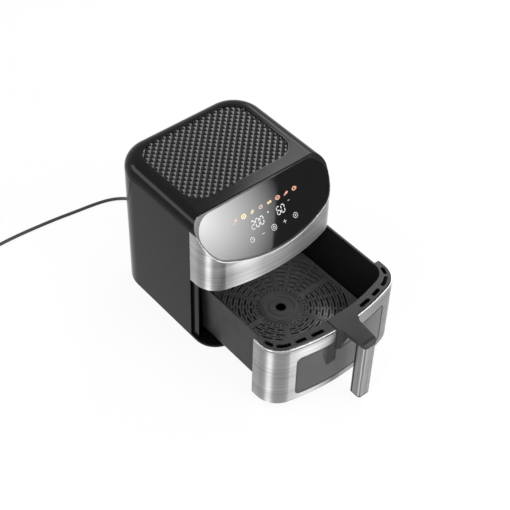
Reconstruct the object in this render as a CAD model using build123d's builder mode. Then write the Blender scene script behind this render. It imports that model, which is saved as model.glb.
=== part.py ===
from build123d import *

import os
from math import atan2, degrees, pi, radians, sqrt, tan

# Air fryer with a glass control panel and a pull-out drawer that has a window
# It stands on its feet with +Z up and its front towards -Y, and the drawer is pulled out
# The origin is on the floor, in the middle of the part's length and width without its cord

# Driving dimensions of the housing, in millimetres
body_width = 290
body_depth = 296
body_height = 295
foot_height = 5
base_edge = 6
housing_wall = 2.6
rear_corner_radius = 62
front_corner_radius = 45
front_bow_radius = 410
shoulder_radius = 26
seam_depth = 224
band_bottom = 154

# Driving dimensions of the drawer
drawer_pull = 168
drawer_top = 151
drawer_bottom = 13
ledge_width = 25
ledge_thickness = 2.5
skin = 0.8
core_wall = 2
handle_reach = 58
handle_width = 48

# Driving dimensions of the basket and its plate
basket_width = 262
basket_back = 20
basket_bottom = 20
basket_wall = 1.2
basket_draft = 2.5
plate_top = 47

# Values that several pieces share
overrun = 1
fit_gap = 0.15
running_gap = 0.3
fan_depth = 150
plate_depth = 132
band_sheet = 0.8
frame_wall = 2.6
base_top = foot_height + base_edge
deck_height = band_bottom + band_sheet + frame_wall
basket_top = drawer_top - ledge_thickness
back_y = (body_depth + drawer_pull + handle_reach) / 2
full_turn = 360


def housing_level(height):
    """Horizontal plane with its origin on the housing's back."""
    return Plane((0, back_y, height))


def drawer_level(height):
    """The same plane, moved forward with the drawer."""
    return Plane((0, back_y - drawer_pull, height))


def fan_level(height):
    """Horizontal plane with its origin on the fan's axis."""
    return Plane((0, back_y - fan_depth, height))


def plate_level(height):
    """Horizontal plane with its origin in the middle of the plate's hub."""
    return Plane((0, back_y - drawer_pull - plate_depth, height))


def housing_cross(depth, height=0):
    """Upright plane that faces the front, at a depth in front of the housing's back."""
    return Plane(origin=(0, back_y - depth, height), x_dir=(1, 0, 0), z_dir=(0, -1, 0))


def drawer_cross(depth, height=0):
    """The same plane, moved forward with the drawer."""
    return Plane(origin=(0, back_y - drawer_pull - depth, height), x_dir=(1, 0, 0), z_dir=(0, -1, 0))


def drawer_side(x=0):
    """Upright plane along the drawer, for outlines seen from its side."""
    return Plane(origin=(x, back_y - drawer_pull, 0), x_dir=(0, 1, 0), z_dir=(1, 0, 0))


def plan_face(plane, inset=0):
    """The housing's outline from above, drawn smaller by the inset."""
    with BuildSketch(plane) as outline:
        with Locations((0, -(body_depth + overrun) / 2)):
            Rectangle(body_width, body_depth + overrun)
        with Locations((0, front_bow_radius - body_depth)):
            Circle(front_bow_radius, mode=Mode.INTERSECT)
        fillet(outline.vertices().group_by(Axis.Y)[-1], rear_corner_radius)
        fillet(outline.vertices().group_by(Axis.Y)[0], front_corner_radius)
        if inset:
            offset(amount=-inset)
    return outline.sketch


def plan_wall(plane, height, outer, inner):
    """An upright wall along the housing's outline, between two insets."""
    with BuildPart() as wall:
        extrude(plan_face(plane, outer), amount=height)
        extrude(plan_face(plane, inner), amount=height, mode=Mode.SUBTRACT)
    return wall.part


def housing_form(inset=0, bottom=base_top):
    """The housing's closed form with its rounded shoulder, drawn smaller by the inset."""
    with BuildPart() as form:
        extrude(plan_face(housing_level(bottom), inset), amount=body_height - inset - bottom)
        fillet(form.faces().sort_by(Axis.Z)[-1].edges(), shoulder_radius - inset)
    return form.part


def finish(piece, name):
    """Label a finished piece and write its file."""
    piece.part.label = name
    export_step(piece.part, f"parts/{name}.step")


os.makedirs("parts", exist_ok=True)

# Top panel with rows of small pyramids, set in a recess of the shell
panel_width = 230
panel_length = 174
panel_centre = 114
panel_corner_radius = 40
panel_gap = 0.8
panel_sink = 0.6
panel_plate = 2
panel_rim = 1.6
pyramid_pitch = 10.2
pyramid_height = 2.8
pyramid_turn = 45
panel_depth = panel_plate + pyramid_height
panel_seat = body_height - panel_sink - panel_depth
pyramid_count = int((panel_width + panel_length) / sqrt(2) / pyramid_pitch) + 2


def panel_face(height, inset=0):
    """The top panel's rounded outline, drawn smaller by the inset."""
    with BuildSketch(housing_level(height)) as outline:
        with Locations((0, -panel_centre)):
            RectangleRounded(
                panel_width - 2 * inset, panel_length - 2 * inset, panel_corner_radius - inset
            )
    return outline.sketch


def ridges(turn):
    """Straight ridges side by side over the panel, turned about its centre."""
    middle = Plane((0, back_y - panel_centre, panel_seat)).rotated((0, 0, turn))
    half = pyramid_count * pyramid_pitch / 2
    with BuildPart() as field:
        with BuildSketch(Plane(middle.origin, x_dir=middle.x_dir, z_dir=-middle.y_dir)):
            with BuildLine():
                outline = [(-half, 0), (-half, panel_plate)]
                for ridge in range(pyramid_count):
                    left = -half + ridge * pyramid_pitch
                    outline.append((left + pyramid_pitch / 2, panel_depth))
                    outline.append((left + pyramid_pitch, panel_plate))
                Polyline(*outline, (half, 0), close=True)
            make_face()
        extrude(amount=half, both=True)
    return field.part


def panel_border():
    """The flat rim round the pyramids."""
    with BuildPart() as border:
        extrude(panel_face(panel_seat), amount=panel_depth)
        extrude(panel_face(panel_seat, panel_rim), amount=panel_depth, mode=Mode.SUBTRACT)
    return border.part


with BuildPart() as top_panel:
    extrude(panel_face(panel_seat, panel_rim), amount=panel_depth)
    add(ridges(pyramid_turn), mode=Mode.INTERSECT)
    add(ridges(-pyramid_turn), mode=Mode.INTERSECT)
    add(panel_border())
finish(top_panel, "top_panel")

# Outer shell: sides, back and top in one moulding, open at the front
seam_gap = 0.5
panel_ledge = 5
panel_ledge_thickness = 2.5
vent_width = 150
vent_height = 52
vent_centre = 222
vent_corner = 6
cord_x = -4
cord_height = 34
gland_hole_radius = 8
panel_ledge_bottom = panel_seat - panel_ledge_thickness

with BuildPart() as outer_shell:
    add(housing_form())
    add(housing_form(housing_wall), mode=Mode.SUBTRACT)
    extrude(
        panel_face(panel_ledge_bottom, -panel_ledge),
        amount=body_height - housing_wall - panel_ledge_bottom,
    )
    extrude(
        panel_face(panel_seat, -panel_gap),
        amount=body_height - panel_seat,
        mode=Mode.SUBTRACT,
    )
    extrude(
        panel_face(panel_ledge_bottom, panel_ledge),
        amount=panel_ledge_thickness,
        mode=Mode.SUBTRACT,
    )
    with BuildSketch(housing_cross(0, vent_centre)):
        RectangleRounded(vent_width, vent_height, vent_corner)
    extrude(amount=housing_wall + overrun, mode=Mode.SUBTRACT)
    with BuildSketch(housing_cross(0, cord_height)):
        with Locations((cord_x, 0)):
            Circle(gland_hole_radius)
    extrude(amount=housing_wall + overrun, mode=Mode.SUBTRACT)
    split(bisect_by=housing_cross(seam_depth - seam_gap), keep=Keep.BOTTOM)
finish(outer_shell, "outer_shell")

# Rear vent grille: a plate with slots, clipped into the shell's back
vent_flange = 4
vent_flange_thickness = 1.6
vent_slot_length = 62
vent_slot_width = 2.8
vent_slot_pitch = 5.6
vent_column_pitch = 70
vent_rows = 8

with BuildPart() as rear_vent_grille:
    with BuildSketch(housing_cross(0, vent_centre)):
        RectangleRounded(vent_width - 2 * fit_gap, vent_height - 2 * fit_gap, vent_corner - fit_gap)
    extrude(amount=housing_wall)
    with BuildSketch(housing_cross(housing_wall, vent_centre)):
        RectangleRounded(
            vent_width + 2 * vent_flange, vent_height + 2 * vent_flange, vent_corner + vent_flange
        )
    extrude(amount=vent_flange_thickness)
    with BuildSketch(housing_cross(0, vent_centre)):
        with GridLocations(vent_column_pitch, vent_slot_pitch, 2, vent_rows):
            SlotOverall(vent_slot_length, vent_slot_width)
    extrude(amount=housing_wall + vent_flange_thickness, mode=Mode.SUBTRACT)
finish(rear_vent_grille, "rear_vent_grille")

# Base pan: a tray that closes the bottom and reaches to the front under the drawer
pan_wall = 2.5
pan_edge_round = 1.2
collar_height = 9
collar_wall = 2
foot_radius = 11
foot_boss_radius = 14
foot_socket_radius = 6
foot_socket_depth = 3
foot_x = 105
foot_depths = (45, 250)
intake_slot_length = 60
intake_slot_width = 4
intake_pitch = 9
intake_count = 7
foot_places = [(x, -depth) for depth in foot_depths for x in (-foot_x, foot_x)]

with BuildPart() as pan_collar:
    add(
        plan_wall(
            housing_level(base_top),
            collar_height,
            housing_wall + running_gap,
            housing_wall + running_gap + collar_wall,
        )
    )
    split(bisect_by=housing_cross(seam_depth - 2 * collar_height), keep=Keep.BOTTOM)

with BuildPart() as base_pan:
    extrude(plan_face(housing_level(foot_height)), amount=base_edge)
    fillet(base_pan.faces().sort_by(Axis.Z)[0].edges(), pan_edge_round)
    extrude(
        plan_face(housing_level(foot_height), pan_wall),
        amount=base_edge - pan_wall,
        mode=Mode.SUBTRACT,
    )
    with BuildSketch(housing_level(foot_height)):
        with Locations(*foot_places):
            Circle(foot_boss_radius)
    extrude(amount=base_edge - pan_wall)
    with BuildSketch(housing_level(foot_height)):
        with Locations(*foot_places):
            Circle(foot_socket_radius)
    extrude(amount=foot_socket_depth, mode=Mode.SUBTRACT)
    with BuildSketch(housing_level(foot_height)):
        with Locations((0, -fan_depth)):
            with GridLocations(0, intake_pitch, 1, intake_count):
                SlotOverall(intake_slot_length, intake_slot_width)
    extrude(amount=base_edge, mode=Mode.SUBTRACT)
    add(pan_collar.part)
finish(base_pan, "base_pan")

# Four rubber feet, each plugged into a socket of the base pan
foot_bevel = 1
foot_names = ("foot_back_left", "foot_back_right", "foot_front_left", "foot_front_right")

for foot_name, (foot_across, foot_along) in zip(foot_names, foot_places):
    with BuildPart() as foot:
        with BuildSketch(Plane((foot_across, back_y + foot_along, 0))):
            Circle(foot_radius)
        extrude(amount=foot_height)
        chamfer(foot.faces().sort_by(Axis.Z)[0].edges(), foot_bevel)
        with BuildSketch(Plane((foot_across, back_y + foot_along, foot_height))):
            Circle(foot_socket_radius)
        extrude(amount=foot_socket_depth)
    finish(foot, foot_name)

# Cavity liner: a sheet-metal tub that the drawer slides into, with two pressed rails
liner_width = 275
liner_back = 14
liner_front = 216
liner_wall = 1
liner_flange = 3
liner_rear_radius = 45
rail_x = 95
rail_width = 8
rail_back = 30
rail_round = 2


def liner_face(height, inset=0):
    """The liner's outline, drawn smaller by the inset and running past its open front."""
    length = liner_front - liner_back + liner_rear_radius
    with BuildSketch(housing_level(height)) as outline:
        with Locations((0, -liner_back - length / 2)):
            Rectangle(liner_width, length)
        fillet(outline.vertices().group_by(Axis.Y)[-1], liner_rear_radius)
        if inset:
            offset(amount=-inset)
    return outline.sketch


with BuildPart() as cavity_liner:
    extrude(liner_face(base_top), amount=deck_height - base_top)
    extrude(liner_face(deck_height, -liner_flange), amount=-liner_wall)
    extrude(
        liner_face(base_top + liner_wall, liner_wall),
        amount=deck_height - base_top,
        mode=Mode.SUBTRACT,
    )
    split(bisect_by=housing_cross(liner_front), keep=Keep.BOTTOM)
    with BuildSketch(housing_cross(rail_back, base_top + liner_wall)):
        with Locations((-rail_x, 0), (rail_x, 0)):
            rail_height = basket_bottom - running_gap - base_top - liner_wall
            Rectangle(rail_width, rail_height, align=(Align.CENTER, Align.MIN))
    extrude(amount=liner_front - rail_back)
    rail_tops = cavity_liner.faces().filter_by(Axis.Z).filter_by_position(
        Axis.Z, basket_bottom - 2 * running_gap, basket_bottom
    )
    fillet(rail_tops.edges().filter_by(Axis.Y), rail_round)
finish(cavity_liner, "cavity_liner")

# Mouth frame: the plastic ring round the opening, with two tongues inside the closed drawer
mouth_width = 281
mouth_post = 3
mouth_sill_height = 8
lintel_gap = 0.8
tongue_front = 240
tongue_gap = 1.5
mouth_front = seam_depth - seam_gap

with BuildPart() as mouth_frame:
    with BuildSketch(housing_cross(liner_front)):
        with Locations((0, (base_top + deck_height) / 2)):
            Rectangle(mouth_width, deck_height - base_top)
        mouth_low = base_top + mouth_sill_height
        mouth_high = drawer_top + lintel_gap
        with Locations((0, (mouth_low + mouth_high) / 2)):
            Rectangle(mouth_width - 2 * mouth_post, mouth_high - mouth_low, mode=Mode.SUBTRACT)
    extrude(amount=mouth_front - liner_front)
    with BuildSketch(housing_cross(mouth_front, base_top)):
        with Locations(((mouth_post - mouth_width) / 2, 0), ((mouth_width - mouth_post) / 2, 0)):
            tongue_height = basket_top - tongue_gap - base_top
            Rectangle(mouth_post, tongue_height, align=(Align.CENTER, Align.MIN))
    extrude(amount=tongue_front - mouth_front)
finish(mouth_frame, "mouth_frame")

# Control glass: a flat sloping plate, with the frame, the steel band and the display behind it
glass_top_height = 292.5
glass_foot_height = 199
glass_thickness = 2.6
glass_inset = 3
glass_width = 280
glass_corner_radius = 36
glass_seat = 2
band_hem = 2.5
frame_flange = 15
display_width = 124
display_height = 56
display_drop = 58
glass_run = body_depth - seam_depth
glass_fall = glass_top_height - glass_foot_height
frame_bottom = band_bottom + band_sheet
shoulder_start = body_height - shoulder_radius


def glass_plane(sink=0):
    """The glass's outer surface, or a plane that lies below it by the sink."""
    surface = Plane(
        origin=(0, back_y - seam_depth, glass_top_height),
        x_dir=(1, 0, 0),
        z_dir=(0, -glass_fall, glass_run),
    )
    return surface.offset(-sink)


def glass_blank(gap=0):
    """The control glass's form, drawn larger by the gap at its edges."""
    with BuildPart() as blank:
        with BuildSketch(glass_plane()) as outline:
            with Locations((0, gap - glass_inset)):
                Rectangle(glass_width + 2 * gap, 2 * glass_fall, align=(Align.CENTER, Align.MAX))
            fillet(outline.vertices().group_by(Axis.Y)[-1], glass_corner_radius + gap)
        extrude(amount=-glass_thickness)
        add(housing_form(glass_inset - gap), mode=Mode.INTERSECT)
    return blank.part


with BuildPart() as control_glass:
    add(glass_blank())
finish(control_glass, "control_glass")

with BuildPart() as head_shoulder:
    add(housing_form())
    split(bisect_by=Plane.XY.offset(shoulder_start), keep=Keep.TOP)

with BuildPart() as head_hollow:
    add(housing_form(band_sheet + frame_wall, frame_bottom + frame_wall))
    split(bisect_by=glass_plane(glass_thickness + glass_seat), keep=Keep.BOTTOM)

with BuildPart() as head_frame:
    add(housing_form(band_sheet, frame_bottom))
    add(head_shoulder.part)
    split(bisect_by=housing_cross(seam_depth), keep=Keep.TOP)
    split(bisect_by=glass_plane(), keep=Keep.BOTTOM)
    add(head_hollow.part, mode=Mode.SUBTRACT)
    extrude(
        plan_face(housing_level(frame_bottom), frame_flange),
        amount=frame_wall,
        mode=Mode.SUBTRACT,
    )
    add(glass_blank(fit_gap), mode=Mode.SUBTRACT)
    with BuildSketch(glass_plane()):
        with Locations((0, -display_drop)):
            Rectangle(display_width + 2 * fit_gap, display_height + 2 * fit_gap)
    extrude(amount=-2 * (glass_thickness + glass_seat), mode=Mode.SUBTRACT)
finish(head_frame, "head_frame")

with BuildPart() as steel_band:
    add(plan_wall(housing_level(band_bottom), shoulder_start - band_bottom, 0, band_sheet))
    add(plan_wall(housing_level(band_bottom), band_sheet, 0, band_hem))
    split(bisect_by=housing_cross(seam_depth), keep=Keep.TOP)
    split(bisect_by=glass_plane(), keep=Keep.BOTTOM)
finish(steel_band, "steel_band")

# Display board: the lit display block against the glass, on a circuit board with four posts
board_thickness = 1.6
board_width = 160
board_height = 62
display_block = 9
post_radius = 3

with BuildPart() as display_board:
    with BuildSketch(glass_plane(glass_thickness)):
        with Locations((0, -display_drop)):
            Rectangle(display_width, display_height)
    extrude(amount=-display_block)
    with BuildSketch(glass_plane(glass_thickness + display_block)):
        with Locations((0, -display_drop)):
            Rectangle(board_width, board_height)
    extrude(amount=-board_thickness)
    with BuildSketch(glass_plane(glass_thickness + glass_seat)):
        with Locations((0, -display_drop)):
            with GridLocations(board_width - 4 * post_radius, board_height - 4 * post_radius, 2, 2):
                Circle(post_radius)
    extrude(amount=glass_seat - display_block)
finish(display_board, "display_board")

# Deck: the sheet over the drawer's cavity that carries the heater, the lamp and the motor
deck_thickness = 1.2
deck_margin = 4.6
dome_radius = 110
dome_sheet = 0.8
dome_flange = 8
dome_height = 30
dome_round = 12
lamp_x = -98
lamp_depth = 238
lamp_radius = 11
deck_top = deck_height + deck_thickness
dome_top = deck_top + dome_height
shaft_radius = 4
shaft_hole_radius = 7
element_radius = 3.25
element_height = 169
element_start = 80
element_step = 6
element_half_turns = 3
element_ends = (element_start, -element_start - (element_half_turns - 1) * element_step)

with BuildPart() as heat_deck:
    extrude(plan_face(housing_level(deck_height), deck_margin), amount=deck_thickness)
    with BuildSketch(fan_level(deck_height)):
        Circle(dome_radius - dome_sheet)
    extrude(amount=deck_thickness, mode=Mode.SUBTRACT)
    with BuildSketch(housing_level(deck_height)):
        with Locations((lamp_x, -lamp_depth)):
            Circle(lamp_radius)
    extrude(amount=deck_thickness, mode=Mode.SUBTRACT)
finish(heat_deck, "heat_deck")

# Heat dome: a spun cover over the heater and the hot-air fan
with BuildPart() as heat_dome:
    with BuildSketch(fan_level(deck_top)):
        Circle(dome_radius)
    extrude(amount=dome_height)
    fillet(heat_dome.faces().sort_by(Axis.Z)[-1].edges(), dome_round)
    offset(amount=-dome_sheet, openings=heat_dome.faces().sort_by(Axis.Z)[0])
    with BuildSketch(fan_level(deck_top)):
        Circle(dome_radius + dome_flange)
        Circle(dome_radius - dome_sheet, mode=Mode.SUBTRACT)
    extrude(amount=dome_sheet)
    with BuildSketch(fan_level(dome_top)):
        Circle(shaft_hole_radius)
        with Locations(*[(end, 0) for end in element_ends]):
            Circle(element_radius + running_gap)
    extrude(amount=-2 * dome_sheet, mode=Mode.SUBTRACT)
finish(heat_dome, "heat_dome")

# Heating element: one tube wound in half circles of growing radius, with two upright ends
element_leg_top = 198

with BuildPart() as heating_element:
    with BuildLine(fan_level(element_height)) as winding:
        turn_start = element_start
        for turn in range(element_half_turns):
            side = 1 if turn % 2 == 0 else -1
            turn_radius = element_start + turn * element_step
            turn_centre = turn_start - side * turn_radius
            CenterArc((turn_centre, 0), turn_radius, 0 if side > 0 else full_turn / 2, full_turn / 2)
            turn_start = turn_centre - side * turn_radius
    with BuildSketch(
        Plane(origin=winding.line @ 0, x_dir=(1, 0, 0), z_dir=winding.line % 0)
    ):
        Circle(element_radius)
    sweep()
    with BuildSketch(fan_level(element_height)):
        with Locations(*[(end, 0) for end in element_ends]):
            Circle(element_radius)
    extrude(amount=element_leg_top - element_height)
finish(heating_element, "heating_element")

# Element guard: flat rings and bars below the heater, held by the dome's wall
guard_height = 161
guard_strip = 2.4
guard_thickness = 2
guard_radius_shares = (0.28, 0.56, 0.84)
guard_bars = 4

with BuildPart() as element_guard:
    for share in guard_radius_shares:
        with BuildSketch(fan_level(guard_height)):
            Circle(share * dome_radius + guard_strip / 2)
            Circle(share * dome_radius - guard_strip / 2, mode=Mode.SUBTRACT)
        extrude(amount=guard_thickness)
    with BuildSketch(fan_level(guard_height)):
        for bar in range(guard_bars):
            Rectangle(
                2 * (dome_radius - dome_sheet), guard_strip, rotation=bar * full_turn / guard_bars / 2
            )
        Circle(dome_radius - dome_sheet - fit_gap, mode=Mode.INTERSECT)
    extrude(amount=guard_thickness)
finish(element_guard, "element_guard")

# Lamp that lights the basket from above, a lens below the deck and its holder above
lens_drop = 2.6
lamp_flange = 2.5
lamp_holder_height = 22
lamp_holder_round = 3

with BuildPart() as lamp_lens:
    with BuildSketch(housing_level(deck_height - lens_drop)):
        with Locations((lamp_x, -lamp_depth)):
            Circle(lamp_radius - fit_gap)
    extrude(amount=lens_drop + deck_thickness)
finish(lamp_lens, "lamp_lens")

with BuildPart() as lamp_holder:
    with BuildSketch(housing_level(deck_top)):
        with Locations((lamp_x, -lamp_depth)):
            Circle(lamp_radius + lamp_flange)
    extrude(amount=lamp_flange)
    with BuildSketch(housing_level(deck_top + lamp_flange)):
        with Locations((lamp_x, -lamp_depth)):
            Circle(lamp_radius)
    extrude(amount=lamp_holder_height)
    fillet(lamp_holder.faces().sort_by(Axis.Z)[-1].edges(), lamp_holder_round)
finish(lamp_holder, "lamp_holder")

# Thermal cut-out: a button on the dome with two tabs
cutout_radius = 7
cutout_height = 5
cutout_place = 78
tab_length = 8
tab_width = 3

with BuildPart() as thermal_cutout:
    with BuildSketch(fan_level(dome_top)):
        with Locations((0, cutout_place)):
            Circle(cutout_radius)
    extrude(amount=cutout_height)
    with BuildSketch(fan_level(dome_top + cutout_height)):
        with Locations((0, cutout_place)):
            with GridLocations(2 * tab_width, 0, 2, 1):
                Rectangle(tab_width / 2, tab_width)
    extrude(amount=tab_length)
finish(thermal_cutout, "thermal_cutout")

# Motor on a strap across the dome
strap_height = 207.5
strap_sheet = 1.5
strap_width = 40
strap_reach = 122
strap_foot = 8
motor_radius = 36
motor_height = 35
motor_round = 4
motor_neck_radius = 12
motor_neck_height = 3
shaft_running_gap = 0.05
strap_top = strap_height + strap_sheet
motor_top = strap_top + motor_height

with BuildPart() as motor_bracket:
    strap_side = Plane(
        origin=(0, back_y - fan_depth, 0), x_dir=(0, 1, 0), z_dir=(1, 0, 0)
    )
    with BuildSketch(strap_side):
        with BuildLine():
            Polyline(
                (-strap_reach - strap_foot, deck_top),
                (-strap_reach - strap_foot, deck_top + strap_sheet),
                (-strap_reach, deck_top + strap_sheet),
                (-strap_reach, strap_top),
                (strap_reach, strap_top),
                (strap_reach, deck_top + strap_sheet),
                (strap_reach + strap_foot, deck_top + strap_sheet),
                (strap_reach + strap_foot, deck_top),
                (strap_reach - strap_sheet, deck_top),
                (strap_reach - strap_sheet, strap_height),
                (strap_sheet - strap_reach, strap_height),
                (strap_sheet - strap_reach, deck_top),
                close=True,
            )
        make_face()
    extrude(amount=strap_width / 2, both=True)
    with BuildSketch(fan_level(strap_height)):
        Circle(motor_neck_radius + fit_gap)
    extrude(amount=strap_sheet, mode=Mode.SUBTRACT)
finish(motor_bracket, "motor_bracket")

with BuildPart() as motor:
    with BuildSketch(fan_level(strap_top)):
        Circle(motor_radius)
    extrude(amount=motor_height)
    fillet(motor.faces().sort_by(Axis.Z)[-1].edges(), motor_round)
    with BuildSketch(fan_level(strap_top)):
        Circle(motor_neck_radius)
    extrude(amount=-motor_neck_height)
    with BuildSketch(fan_level(motor_top)):
        Circle(shaft_radius + shaft_running_gap)
    extrude(amount=-motor_height - motor_neck_height, mode=Mode.SUBTRACT)
finish(motor, "motor")

# Rotor: the shaft, the hot-air fan with its nut, and the cooling fan above the dome
shaft_bottom = 168
shaft_stub = 3
impeller_radius = 74
impeller_height = 184.5
impeller_sheet = 1
impeller_blade_height = 10
impeller_blade_length = 40
impeller_blade_sheet = 1.2
impeller_blade_angle = 28
impeller_blades = 12
impeller_hub_radius = 10
impeller_hub_height = 8
nut_radius = 7
nut_height = 5
cooling_height = 194
cooling_hub_radius = 12
cooling_hub_height = 10
cooling_radius = 50
cooling_blade_width = 15
cooling_blade_sheet = 1.2
cooling_blade_angle = 32
cooling_blades = 7

with BuildPart() as motor_shaft:
    with BuildSketch(fan_level(shaft_bottom)):
        Circle(shaft_radius)
    extrude(amount=motor_top + shaft_stub - shaft_bottom)
finish(motor_shaft, "motor_shaft")

with BuildPart() as hot_air_fan:
    with BuildSketch(fan_level(impeller_height)):
        Circle(impeller_radius)
    extrude(amount=impeller_sheet)
    with BuildSketch(fan_level(impeller_height)):
        with PolarLocations(impeller_radius - impeller_blade_length / 2, impeller_blades):
            Rectangle(impeller_blade_length, impeller_blade_sheet, rotation=impeller_blade_angle)
        Circle(impeller_radius, mode=Mode.INTERSECT)
    extrude(amount=-impeller_blade_height)
    with BuildSketch(fan_level(impeller_height)):
        Circle(impeller_hub_radius)
    extrude(amount=-impeller_hub_height)
    with BuildSketch(fan_level(impeller_height + impeller_sheet)):
        Circle(shaft_radius)
    extrude(amount=-impeller_sheet - impeller_hub_height, mode=Mode.SUBTRACT)
finish(hot_air_fan, "hot_air_fan")

with BuildPart() as fan_nut:
    with BuildSketch(fan_level(impeller_height - impeller_hub_height)):
        RegularPolygon(nut_radius, 6)
        Circle(shaft_radius, mode=Mode.SUBTRACT)
    extrude(amount=-nut_height)
finish(fan_nut, "fan_nut")

with BuildPart() as cooling_fan:
    with BuildSketch(fan_level(cooling_height)):
        Circle(cooling_hub_radius)
    extrude(amount=cooling_hub_height)
    blade_length = cooling_radius - cooling_hub_radius + overrun
    with Locations(fan_level(cooling_height + cooling_hub_height / 2)):
        with PolarLocations(cooling_radius - blade_length / 2, cooling_blades):
            Box(
                blade_length,
                cooling_blade_width,
                cooling_blade_sheet,
                rotation=(cooling_blade_angle, 0, 0),
            )
    with BuildSketch(fan_level(cooling_height)):
        Circle(shaft_radius)
    extrude(amount=cooling_hub_height, mode=Mode.SUBTRACT)
finish(cooling_fan, "cooling_fan")

# Power board on stand-offs at the shell's right side
power_board_x = 134
power_board_depth = 130
power_board_drop = 70
power_board_length = 120
power_board_width = 60
standoff_radius = 3
relay_size = (20, 16, 15)
transformer_size = (28, 24, 16)
capacitor_radius = 6
capacitor_length = 17
relay_place_shares = (-0.3, -0.25)
transformer_place_shares = (0.25, 0.2)
capacitor_place_shares = (0.0, 0.25)
shell_inside = body_width / 2 - housing_wall
power_board_plane = Plane(
    origin=(power_board_x, back_y - power_board_depth, body_height - power_board_drop),
    x_dir=(0, -1, 0),
    z_dir=(-1, 0, 0),
)


def on_power_board(shares):
    """A place on the power board, given as shares of its length and width."""
    return (shares[0] * power_board_length, shares[1] * power_board_width)


with BuildPart() as power_board:
    with BuildSketch(power_board_plane):
        Rectangle(power_board_length, power_board_width)
    extrude(amount=-board_thickness)
    with BuildSketch(power_board_plane.offset(-board_thickness)):
        with GridLocations(
            power_board_length - 4 * standoff_radius, power_board_width - 4 * standoff_radius, 2, 2
        ):
            Circle(standoff_radius)
    extrude(amount=power_board_x + board_thickness - shell_inside)
    with BuildSketch(power_board_plane):
        with Locations(on_power_board(relay_place_shares)):
            Rectangle(relay_size[0], relay_size[1])
    extrude(amount=relay_size[2])
    with BuildSketch(power_board_plane):
        with Locations(on_power_board(transformer_place_shares)):
            Rectangle(transformer_size[0], transformer_size[1])
    extrude(amount=transformer_size[2])
    with BuildSketch(power_board_plane):
        with Locations(on_power_board(capacitor_place_shares)):
            Circle(capacitor_radius)
    extrude(amount=capacitor_length)
finish(power_board, "power_board")

# Drawer shell: the brushed-steel front, hemmed at its edges, with a window opening
trim_bottom = 145
trim_gap = 0.6
hem_width = 2.6
window_width = 194
window_low = 28
window_high = 118
window_corner = 8
window_border = 2.5
bridge_rise = 1.5
bridge_thickness = 9
bridge_gap = 0.3
screw_radius = 2
screw_length = 14
screw_height = 131
screw_x = 10
screw_seat_gap = 0.3
core_inset = skin + core_wall
screw_seat = body_depth - core_inset - screw_seat_gap
shell_top = trim_bottom - trim_gap
bridge_top = drawer_top + bridge_rise
bridge_bottom = bridge_top - bridge_thickness
bridge_end = body_depth + handle_reach


def window_block(border=0):
    """A rounded block through the drawer's front, larger than the window by the border."""
    with BuildPart() as block:
        with BuildSketch(drawer_cross(seam_depth, (window_low + window_high) / 2)):
            RectangleRounded(
                window_width + 2 * border,
                window_high - window_low + 2 * border,
                window_corner + border,
            )
        extrude(amount=body_depth)
    return block.part


def bridge_notch(gap):
    """The space that the handle's bridge takes where it crosses the drawer's front."""
    with BuildPart() as notch:
        with BuildSketch(drawer_cross(body_depth - ledge_width, bridge_bottom - gap)):
            Rectangle(handle_width + 2 * gap, bridge_top, align=(Align.CENTER, Align.MIN))
        extrude(amount=2 * ledge_width)
    return notch.part


def screw_bores():
    """The two bores for the screws that hold the handle."""
    with BuildPart() as bores:
        with BuildSketch(drawer_cross(screw_seat, screw_height)):
            with GridLocations(2 * screw_x, 0, 2, 1):
                Circle(screw_radius)
        extrude(amount=screw_length)
    return bores.part


with BuildPart() as drawer_shell:
    add(plan_wall(drawer_level(drawer_bottom), shell_top - drawer_bottom, 0, skin))
    add(plan_wall(drawer_level(drawer_bottom), skin, 0, hem_width))
    split(bisect_by=drawer_cross(seam_depth), keep=Keep.TOP)
    add(window_block(window_border), mode=Mode.SUBTRACT)
    add(bridge_notch(0), mode=Mode.SUBTRACT)
    add(screw_bores(), mode=Mode.SUBTRACT)
finish(drawer_shell, "drawer_shell")

# Basket: a drawn pan with a small rim, leaning walls and a window in its front
basket_rear_radius = 40
basket_front_radius = 32
basket_bottom_radius = 12
basket_rim = 2.5
inner_window_width = 156
inner_window_low = 52
inner_window_high = 112


def basket_face(height, inset=0):
    """The basket's outline at its rim, drawn smaller by the inset."""
    bow_radius = front_bow_radius - ledge_width + basket_wall
    with BuildSketch(drawer_level(height)) as outline:
        with Locations((0, -basket_back - body_depth / 2)):
            Rectangle(basket_width, body_depth)
        with Locations((0, front_bow_radius - body_depth)):
            Circle(bow_radius, mode=Mode.INTERSECT)
        fillet(outline.vertices().group_by(Axis.Y)[-1], basket_rear_radius)
        fillet(outline.vertices().group_by(Axis.Y)[0], basket_front_radius)
        if inset:
            offset(amount=-inset)
    return outline.sketch


def basket_form(inset=0):
    """The basket's closed leaning form, drawn smaller by the inset."""
    with BuildPart() as form:
        extrude(
            basket_face(basket_top, inset),
            amount=basket_bottom + inset - basket_top,
            taper=basket_draft,
        )
        fillet(form.faces().sort_by(Axis.Z)[0].edges(), basket_bottom_radius - inset)
    return form.part


def inner_window_block():
    """A rounded block through the basket's front."""
    with BuildPart() as block:
        with BuildSketch(drawer_cross(seam_depth, (inner_window_low + inner_window_high) / 2)):
            RectangleRounded(
                inner_window_width, inner_window_high - inner_window_low, window_corner
            )
        extrude(amount=body_depth)
    return block.part


with BuildPart() as basket:
    add(basket_form())
    extrude(basket_face(basket_top, -basket_rim), amount=-basket_wall)
    add(basket_form(basket_wall), mode=Mode.SUBTRACT)
    add(inner_window_block(), mode=Mode.SUBTRACT)
finish(basket, "basket")

with BuildPart() as inner_glass:
    add(basket_form())
    add(basket_form(basket_wall), mode=Mode.SUBTRACT)
    add(inner_window_block(), mode=Mode.INTERSECT)
finish(inner_glass, "inner_glass")

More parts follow.
